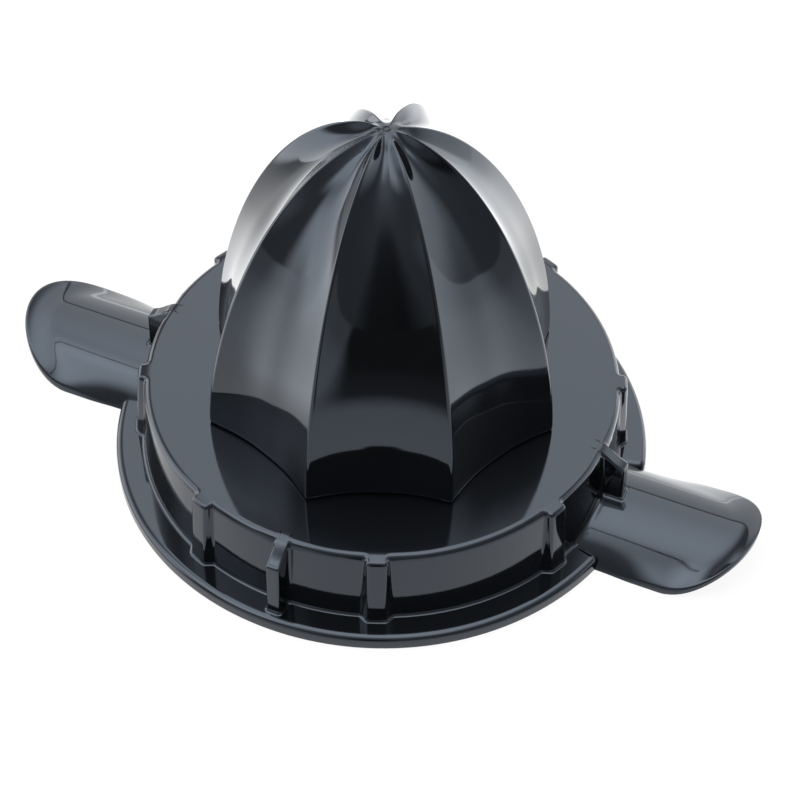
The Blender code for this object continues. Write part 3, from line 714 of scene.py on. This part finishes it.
def stiffener(turn):
    under = DECK_HEIGHT - DECK_THICKNESS
    inner, outer = HUB_RADIUS - OVERLAP, INNER_TOP_RADIUS + OVERLAP
    low, high = under - STIFFENER_HEIGHT, under + OVERLAP
    profile = ((inner, low), (inner, high), (outer, high), (outer, low))
    return radial_plate("stiffener", profile, turn, STIFFENER_THICKNESS)


def build_collar():
    bm = bmesh.new()
    add_grid(bm, collar_rows(), True)
    collar = finish_mesh(bm, "gripped_collar")
    for side in (-1, 1):
        combine(collar, rim_half(side * pi / 2), "UNION")
    for side in (-1, 1):
        combine(collar, one_grip(side), "UNION")
    for i in range(STIFFENER_COUNT):
        combine(collar, stiffener(2 * pi * i / STIFFENER_COUNT), "UNION")
    combine(collar, below_floor(), "DIFFERENCE")
    shade(collar, SHARP_ABOVE)
    return collar


# ---- cone ----
def superellipse(radius, height, powers, angle):
    """Radius and height at an angle up the curve."""
    radial, upright = powers
    return radius * (cos(angle) ** 2) ** (1 / radial), height * (sin(angle) ** 2) ** (1 / upright)


def cone_point(turn, angle, wall=0.0, crown=0.0, rounding=0.0):
    """A point of the fluted skin, moved in by a wall and down by a crown, the ridges made round."""
    flutes = turn * RIDGE_COUNT / (2 * pi)
    across = flutes - int(flutes)
    tall_share = across if int(flutes) % 2 else 1 - across
    tall = superellipse(RIDGE_RADIUS - wall, TALL_RIDGE_HEIGHT - crown, TALL_RIDGE_POWERS, angle)
    low = superellipse(RIDGE_RADIUS - wall, LOW_RIDGE_HEIGHT - crown, LOW_RIDGE_POWERS, angle)
    flute = superellipse(FLUTE_RADIUS - wall, FLUTE_HEIGHT - crown, FLUTE_POWERS, angle)
    off = abs(2 * across - 1)
    if rounding:
        half = min(2 * rounding / (max(tall[0], 1 * MM) * 2 * pi / RIDGE_COUNT), RIDGE_ROUNDING_SHARE)
        if off > 1 - half:
            inside = (1 - off) / half
            off = 1 - half * (0.5 + 0.5 * inside * inside)
    sink = 1 - off ** FLUTE_SHARPNESS
    out, up = [
        (a * tall_share + b * (1 - tall_share)) * (1 - sink) + c * sink
        for a, b, c in zip(tall, low, flute)
    ]
    return polar(out, turn, CONE_FOOT + up)


def cone_turns():
    """Angles round the cone, close together along the ridges."""
    shares = TURN_SHARES + tuple(1 - share for share in reversed(TURN_SHARES[1:-1]))
    return [2 * pi * (i + share) / RIDGE_COUNT for i in range(RIDGE_COUNT) for share in shares]


def tip_blended(point):
    """The point with its height eased toward the smooth dome round the tip."""
    radius = hypot(point.x, point.y)
    near, far = TIP_BLEND
    if radius < far:
        dome = CONE_FOOT + TIP_TOP - TIP_DOME * radius ** 2
        point.z += (dome - point.z) * (1 - ease((radius - near) / (far - near)))
    return point


def cone_skin(turns):
    """Rows of points from the foot's small edge up the flutes and over the tip to its mark."""
    rows = []
    for angle in quarter(CONE_FOOT_STEPS)[:-1]:
        inset = CONE_FOOT_EDGE * (1 - sin(angle))
        rise = CONE_FOOT_EDGE * (1 - cos(angle))
        row = []
        for turn in turns:
            point = cone_point(turn, 0.0, rounding=RIDGE_ROUNDING)
            kept = 1 - inset / hypot(point.x, point.y)
            row.append(Vector((point.x * kept, point.y * kept, point.z + rise)))
        rows.append(row)
    first = asin(sqrt((CONE_FOOT_EDGE / TALL_RIDGE_HEIGHT) ** TALL_RIDGE_POWERS[1]))
    last = radians(CONE_LAST_ANGLE)
    for k in range(CONE_RINGS + 1):
        angle = first + (last - first) * (k / CONE_RINGS)
        rows.append([tip_blended(cone_point(turn, angle, rounding=RIDGE_ROUNDING)) for turn in turns])
    edge = rows[-1]
    for k in range(1, TIP_RINGS + 1):
        share = k / TIP_RINGS
        row = []
        for point, turn in zip(edge, turns):
            end = polar(TIP_FLAT, turn, CONE_FOOT + TIP_TOP)
            place = point.lerp(end, share)
            place.z = point.z + (end.z - point.z) * ease(share)
            row.append(place)
        rows.append(row)
    for radius, drop in TIP_MARK:
        rows.append([polar(radius * MM, turn, CONE_FOOT + TIP_TOP - drop * MM) for turn in turns])
    return rows


def boss():
    """The boss under the crown, with the disc at its foot."""
    disc_top = BOSS_FOOT + BOSS_DISC_THICKNESS
    outline = [
        (BOSS_DISC_RADIUS - INNER_EDGE, BOSS_FOOT),
        (BOSS_DISC_RADIUS, BOSS_FOOT + INNER_EDGE),
        (BOSS_DISC_RADIUS, disc_top - INNER_EDGE),
        (BOSS_DISC_RADIUS - INNER_EDGE, disc_top),
        (BOSS_RADIUS + INNER_EDGE, disc_top),
        (BOSS_RADIUS, disc_top + INNER_EDGE),
    ]
    radial, upright = FLUTE_POWERS
    for share in BOSS_TOP_SHARES:
        radius = BOSS_RADIUS * share
        crown = FLUTE_HEIGHT * (1 - (radius / FLUTE_RADIUS) ** radial) ** (1 / upright)
        outline.append((radius, CONE_FOOT + crown - SKIN_COVER))
    turns = [2 * pi * i / BOSS_STEPS for i in range(BOSS_STEPS)]
    bm = bmesh.new()
    add_stack(bm, [[polar(radius, turn, height) for turn in turns] for radius, height in outline])
    return finish_mesh(bm, "boss")


def web(turn):
    """A plate that ties the boss to the skin under a low ridge."""
    inner = BOSS_RADIUS - OVERLAP
    first, last = WEB_ANGLES
    edge = []
    for k in range(WEB_STEPS + 1):
        angle = radians(first + (last - first) * k / WEB_STEPS)
        point = cone_point(turn, angle, SKIN_COVER, SKIN_COVER)
        edge.append((hypot(point.x, point.y), point.z))
    profile = [(inner, edge[0][1]), *edge, (inner, edge[-1][1])]
    return radial_plate("web", profile, turn, WEB_THICKNESS)


def insert_bore():
    """The tool for the blind hexagonal bore in the boss."""
    corner = INSERT_BORE_FLATS / sqrt(3)
    ends = []
    for height in (BOSS_FOOT - OVERLAP, INSERT_BORE_TOP):
        ends.append([polar(corner, pi / 3 * i, height) for i in range(6)])
    bm = bmesh.new()
    add_prism(bm, *ends)
    return finish_mesh(bm, "insert_bore")


def build_cone():
    turns = cone_turns()
    count = len(turns)
    bm = bmesh.new()
    outer = add_grid(bm, cone_skin(turns), False)
    tip = bm.verts.new((0, 0, CONE_FOOT + TIP_TOP - TIP_MARK[-1][1] * MM))
    for i in range(count):
        bm.faces.new((outer[-1][i], outer[-1][(i + 1) % count], tip))
    inner_rows = []
    for k in range(INNER_RINGS + 1):
        angle = radians(INNER_LAST_ANGLE) * k / INNER_RINGS
        inner_rows.append([cone_point(turn, angle, CONE_WALL, CROWN_WALL) for turn in turns])
    inner = add_grid(bm, inner_rows, False)
    inner_tip = bm.verts.new((0, 0, CONE_FOOT + TIP_TOP - CROWN_WALL))
    for i in range(count):
        j = (i + 1) % count
        bm.faces.new((inner[-1][i], inner[-1][j], inner_tip))
        bm.faces.new((outer[0][i], outer[0][j], inner[0][j], inner[0][i]))
    cone = finish_mesh(bm, "fluted_cone")
    combine(cone, boss(), "UNION")
    for i in range(RIDGE_COUNT // 2):
        combine(cone, web(2 * pi / RIDGE_COUNT * (2 * i + 1)), "UNION")
    combine(cone, insert_bore(), "DIFFERENCE")
    shade(cone, CONE_SHARP_ABOVE)
    return cone


# ---- materials ----
def group_with(name, inputs, outputs):
    """A shader node group with named sockets; inputs are (name, type, default)."""
    group = bpy.data.node_groups.new(name, "ShaderNodeTree")
    for label, kind, default in inputs:
        socket = group.interface.new_socket(name=label, in_out="INPUT", socket_type=kind)
        socket.default_value = default
    for label, kind in outputs:
        group.interface.new_socket(name=label, in_out="OUTPUT", socket_type=kind)
    return group, group.nodes.new("NodeGroupInput").outputs, group.nodes.new("NodeGroupOutput").inputs


def node(tree, kind, values=None, **settings):
    """A node with its settings, then its inputs: a plain value is set and a socket is linked."""
    made = tree.nodes.new(kind)
    for key, value in settings.items():
        setattr(made, key, value)
    for key, value in (values or {}).items():
        if isinstance(value, bpy.types.NodeSocket):
            tree.links.new(value, made.inputs[key])
        else:
            made.inputs[key].default_value = value
    return made


def figure(tree, operation, *values):
    """The result of a math node."""
    return node(tree, "ShaderNodeMath", dict(enumerate(values)), operation=operation).outputs[0]


def vector_figure(tree, operation, *values):
    """The result of a vector math node: a number for a dot product or a length."""
    made = node(tree, "ShaderNodeVectorMath", dict(enumerate(values)), operation=operation)
    return made.outputs["Value" if operation in ("DOT_PRODUCT", "LENGTH") else "Vector"]


def stepped(tree, value, low, high, start=0.0, end=1.0, shape="SMOOTHSTEP"):
    """A value taken from start to end between low and high."""
    ends = {"Value": value, "From Min": low, "From Max": high, "To Min": start, "To Max": end}
    return node(tree, "ShaderNodeMapRange", ends, interpolation_type=shape).outputs["Result"]


def noise(tree, place, size, detail, roughness):
    values = {"Vector": place, "Scale": size, "Detail": detail, "Roughness": roughness}
    return node(tree, "ShaderNodeTexNoise", values).outputs["Fac"]


def moulded_skin():
    """Fine unevenness of a polished mould: slow waves, faint polishing lines, a little dust."""
    number = "NodeSocketFloat"
    group, given, out = group_with(
        "moulded_skin",
        [
            ("Vector", "NodeSocketVector", (0.0, 0.0, 0.0)),
            ("Wave Size", number, 90.0),
            ("Scratch Size", number, 1400.0),
            ("Base Roughness", number, 0.06),
            ("Roughness Spread", number, 0.02),
            ("Dust", number, 0.1),
        ],
        [("Roughness", number), ("Height", number), ("Dust Mask", number)],
    )
    place = given["Vector"]
    waves = noise(group, place, given["Wave Size"], *WAVE_DETAIL)
    smears = noise(group, place, SMEAR_SIZE, *SMEAR_DETAIL)
    drawn = {"Vector": place, "Scale": SCRATCH_STRETCH, "Rotation": SCRATCH_TURN}
    drawn_out = node(group, "ShaderNodeMapping", drawn).outputs["Vector"]
    lines = noise(group, drawn_out, given["Scratch Size"], *SCRATCH_DETAIL)
    scratches = stepped(group, lines, *SCRATCH_LEVELS, shape="LINEAR")
    spread = figure(group, "MULTIPLY", smears, given["Roughness Spread"])
    base = figure(group, "ADD", given["Base Roughness"], spread)
    worn = figure(group, "MULTIPLY", scratches, SCRATCH_ROUGHNESS)
    specks = node(group, "ShaderNodeTexVoronoi", {"Vector": place, "Scale": SPECK_SIZE, "Randomness": 1.0})
    dots = stepped(group, specks.outputs["Distance"], *SPECK_LEVELS, shape="LINEAR")
    link = group.links.new
    link(figure(group, "ADD", base, worn), out["Roughness"])
    link(waves, out["Height"])
    link(figure(group, "MULTIPLY", dots, given["Dust"]), out["Dust Mask"])
    return group


def new_material(name):
    material = bpy.data.materials.new(name)
    material.use_nodes = True
    return material, material.node_tree, material.node_tree.nodes["Principled BSDF"]


def skinned_material(name, skin, values, strength, depth):
    """A material with the skin's roughness and bump, ready for its colour."""
    material, tree, shader = new_material(name)
    place = node(tree, "ShaderNodeTexCoord").outputs["Object"]
    finish = node(tree, "ShaderNodeGroup", {"Vector": place, **values}, node_tree=skin).outputs
    bump = node(tree, "ShaderNodeBump", {"Strength": strength, "Distance": depth, "Height": finish["Height"]})
    tree.links.new(finish["Roughness"], shader.inputs["Roughness"])
    tree.links.new(bump.outputs["Normal"], shader.inputs["Normal"])
    return material, tree, shader, finish


def mixed(tree, share, first, second):
    """A colour between two."""
    values = {"Factor": share, "A": first, "B": second}
    return node(tree, "ShaderNodeMix", values, data_type="RGBA").outputs["Result"]


def gloss_black(skin):
    values = {"Base Roughness": GLOSS_ROUGHNESS, "Roughness Spread": GLOSS_SPREAD, "Dust": 0.0}
    material, tree, shader, finish = skinned_material(
        "black_gloss_plastic", skin, values, GLOSS_GRAIN, GLOSS_DEPTH
    )
    tree.links.new(mixed(tree, finish["Dust Mask"], BLACK_TONE, DUST_TONE), shader.inputs["Base Color"])
    shader.inputs["IOR"].default_value = GLOSS_IOR
    shader.inputs["Specular Tint"].default_value = GLOSS_TINT
    return material


def plain_finish(name, skin, size, colour, roughness, spread, metallic, grain, fleck):
    """A material whose tone and roughness vary a little over the surface; size is its grain per metre."""
    values = {
        "Wave Size": size,
        "Scratch Size": size * SCRATCHES_PER_GRAIN,
        "Base Roughness": roughness,
        "Roughness Spread": spread,
        "Dust": fleck,
    }
    material, tree, shader, finish = skinned_material(name, skin, values, grain, DRIVE_DEPTH)
    flecked, shaded = [
        (*[channel * share for channel in colour], 1.0) for share in (FLECK_SHADE, WAVE_SHADE)
    ]
    tone = mixed(tree, finish["Dust Mask"], (*colour, 1.0), flecked)
    tree.links.new(mixed(tree, finish["Height"], tone, shaded), shader.inputs["Base Color"])
    shader.inputs["Metallic"].default_value = metallic
    return material


def finish_drive(skin):
    """Materials on the drive parts that come from the frame."""
    for name, label, *values in DRIVE_FINISHES:
        part = NODES[name]
        material = plain_finish(label, skin, *values)
        part.data.materials.clear()
        part.data.materials.append(material)
        for face in part.data.polygons:
            face.material_index = 0


# ---- floor, light and camera ----
def soft_panel():
    """The glow of a feathered softbox at infinity, seen along a direction."""
    number, vector = "NodeSocketFloat", "NodeSocketVector"
    group, given, out = group_with(
        "soft_panel",
        [
            ("Direction", vector, (0.0, 0.0, 1.0)),
            ("Facing", vector, (0.0, 0.0, 1.0)),
            ("Across", vector, (1.0, 0.0, 0.0)),
            ("Upward", vector, (0.0, 1.0, 0.0)),
            ("Half Width", number, 0.3),
            ("Half Height", number, 0.3),
            ("Side Feather", number, 0.1),
            ("Top Feather", number, 0.1),
            ("Foot Feather", number, 0.1),
            ("Glow", number, 1.0),
        ],
        [("Glow", number)],
    )
    facing, across, upward = [
        vector_figure(group, "DOT_PRODUCT", given["Direction"], given[axis])
        for axis in ("Facing", "Across", "Upward")
    ]
    ahead = figure(group, "MAXIMUM", facing, LEAST_FACING)
    sideways = figure(group, "ABSOLUTE", figure(group, "DIVIDE", across, ahead))
    height = figure(group, "DIVIDE", upward, ahead)
    mask = figure(group, "GREATER_THAN", facing, LEAST_FACING)
    for distance, feather in (
        (figure(group, "SUBTRACT", given["Half Width"], sideways), "Side Feather"),
        (figure(group, "SUBTRACT", given["Half Height"], height), "Top Feather"),
        (figure(group, "ADD", given["Half Height"], height), "Foot Feather"),
    ):
        mask = figure(group, "MULTIPLY", mask, stepped(group, distance, 0.0, given[feather]))
    group.links.new(figure(group, "MULTIPLY", mask, given["Glow"]), out["Glow"])
    return group


def room_level(tree, direction):
    """The level of the room's plain walls, from the horizon up."""
    axes = node(tree, "ShaderNodeSeparateXYZ", {0: direction})
    made = node(tree, "ShaderNodeValToRGB", {"Fac": axes.outputs["Z"]})
    ramp = made.color_ramp
    for element, (position, level) in zip(ramp.elements, (ROOM_LEVELS[0], ROOM_LEVELS[-1])):
        element.position = position
        element.color = (level, level, level, 1.0)
    for position, level in ROOM_LEVELS[1:-1]:
        ramp.elements.new(position).color = (level, level, level, 1.0)
    return made.outputs["Color"]


def build_room(panels):
    """The world: dim walls, feathered softboxes, and white where the camera looks past the floor."""
    world = bpy.data.worlds.new("studio")
    bpy.context.scene.world = world
    world.use_nodes = True
    tree = world.node_tree
    direction = node(tree, "ShaderNodeTexCoord").outputs["Generated"]
    total = room_level(tree, direction)
    box = soft_panel()
    for name, azimuth, elevation, wide, high, feathers, glow in panels:
        turn, lift = radians(azimuth), radians(elevation)
        values = {
            "Direction": direction,
            "Facing": (cos(turn) * cos(lift), sin(turn) * cos(lift), sin(lift)),
            "Across": (-sin(turn), cos(turn), 0.0),
            "Upward": (-cos(turn) * sin(lift), -sin(turn) * sin(lift), cos(lift)),
            "Half Width": tan(radians(wide) / 2),
            "Half Height": tan(radians(high) / 2),
            "Glow": glow,
        }
        values.update(zip(("Side Feather", "Top Feather", "Foot Feather"), feathers))
        made = node(tree, "ShaderNodeGroup", values, node_tree=box, label=name)
        total = vector_figure(tree, "ADD", total, made.outputs["Glow"])
    plain = tree.nodes["Background"]
    tree.links.new(total, plain.inputs["Color"])
    white = node(tree, "ShaderNodeBackground", {"Color": (1.0, 1.0, 1.0, 1.0), "Strength": 1.0})
    path = node(tree, "ShaderNodeLightPath").outputs
    mix = mixed_shader(tree, path["Is Camera Ray"], plain, white)
    tree.links.new(mix.outputs[0], tree.nodes["World Output"].inputs["Surface"])


def mixed_shader(tree, share, first, second):
    return node(tree, "ShaderNodeMixShader", {0: share, 1: first.outputs[0], 2: second.outputs[0]})


def light_spill():
    """Light lying on the floor in a soft sector, out from a point toward a direction."""
    number, vector = "NodeSocketFloat", "NodeSocketVector"
    group, given, out = group_with(
        "light_spill",
        [
            ("Vector", vector, (0.0, 0.0, 0.0)),
            ("Centre", vector, (0.0, 0.0, 0.0)),
            ("Toward", vector, (1.0, 0.0, 0.0)),
            ("Edge Cosine", number, 0.8),
            ("Core Cosine", number, 0.95),
            ("Start", number, 0.05),
            ("Full", number, 0.1),
            ("Glow", number, 1.0),
        ],
        [("Glow", number)],
    )
    offset = vector_figure(group, "SUBTRACT", given["Vector"], given["Centre"])
    turn = vector_figure(group, "DOT_PRODUCT", vector_figure(group, "NORMALIZE", offset), given["Toward"])
    reach = vector_figure(group, "LENGTH", offset)
    sector = stepped(group, turn, given["Edge Cosine"], given["Core Cosine"])
    along = stepped(group, reach, given["Start"], given["Full"])
    both = figure(group, "MULTIPLY", sector, along)
    group.links.new(figure(group, "MULTIPLY", both, given["Glow"]), out["Glow"])
    return group


def build_floor(spills):
    """A white floor; the gloss mirrors it lit near the object, dimmer far off, with spilt light."""
    bpy.ops.mesh.primitive_circle_add(
        vertices=FLOOR_STEPS, radius=FLOOR_RADIUS, fill_type="NGON", location=(0, 0, -FLOOR_DROP)
    )
    floor = bpy.context.object
    floor.name = "floor"
    material, tree, shader = new_material("white_paper")
    shader.inputs["Base Color"].default_value = PAPER_TONE
    shader.inputs["Roughness"].default_value = PAPER_ROUGHNESS
    shader.inputs["Specular IOR Level"].default_value = PAPER_SPECULAR
    place = node(tree, "ShaderNodeTexCoord").outputs["Object"]
    total = stepped(tree, vector_figure(tree, "LENGTH", place), SHEET_LIT, SHEET_END, 1.0, FAR_FLOOR)
    spill = light_spill()
    for name, centre, azimuth, edge, core, start, full, glow in spills:
        values = {
            "Vector": place,
            "Centre": (*centre, 0.0),
            "Toward": (cos(radians(azimuth)), sin(radians(azimuth)), 0.0),
            "Edge Cosine": cos(radians(edge)),
            "Core Cosine": cos(radians(core)),
            "Start": start,
            "Full": full,
            "Glow": glow,
        }
        made = node(tree, "ShaderNodeGroup", values, node_tree=spill, label=name)
        total = figure(tree, "ADD", total, made.outputs["Glow"])
    level = figure(tree, "MAXIMUM", total, FLOOR_LEAST)
    path = node(tree, "ShaderNodeLightPath").outputs
    mirrored = figure(tree, "MAXIMUM", path["Is Glossy Ray"], path["Is Transmission Ray"])
    seen = node(tree, "ShaderNodeEmission", {"Strength": 1.0})
    lit = node(tree, "ShaderNodeEmission", {"Strength": level})
    paper = mixed_shader(tree, mirrored, shader, lit)
    paper = mixed_shader(tree, figure(tree, "MULTIPLY", path["Is Camera Ray"], FLOOR_WHITE), paper, seen)
    # from underneath the floor is clear, so that the underside shows
    below = node(tree, "ShaderNodeNewGeometry").outputs["Backfacing"]
    paper = mixed_shader(tree, below, paper, node(tree, "ShaderNodeBsdfTransparent"))
    tree.links.new(paper.outputs[0], tree.nodes["Material Output"].inputs["Surface"])
    floor.data.materials.append(material)


def build_camera():
    camera = bpy.data.cameras.new("camera")
    camera.lens = CAMERA_LENS
    camera.sensor_width = CAMERA_SENSOR
    holder = bpy.data.objects.new("camera", camera)
    bpy.context.scene.collection.objects.link(holder)
    place, target = Vector(CAMERA_PLACE) * MM, Vector(CAMERA_TARGET) * MM
    facing = (target - place).to_track_quat("-Z", "Y").to_matrix().to_4x4()
    holder.matrix_world = Matrix.Translation(place) @ facing @ Matrix.Rotation(CAMERA_ROLL, 4, "Z")
    bpy.context.scene.camera = holder


def dress():
    skin = moulded_skin()
    black = gloss_black(skin)
    collar = build_collar()
    collar.data.materials.append(black)
    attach(collar, "collar")
    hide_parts("grip_collar")
    cone = build_cone()
    cone.data.materials.append(black)
    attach(cone, "cone")
    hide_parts("reamer_cone")
    finish_drive(skin)


bpy.context.scene.view_settings.view_transform = "Standard"
dress()
build_room(PANELS)
build_floor(SPILLS)
build_camera()
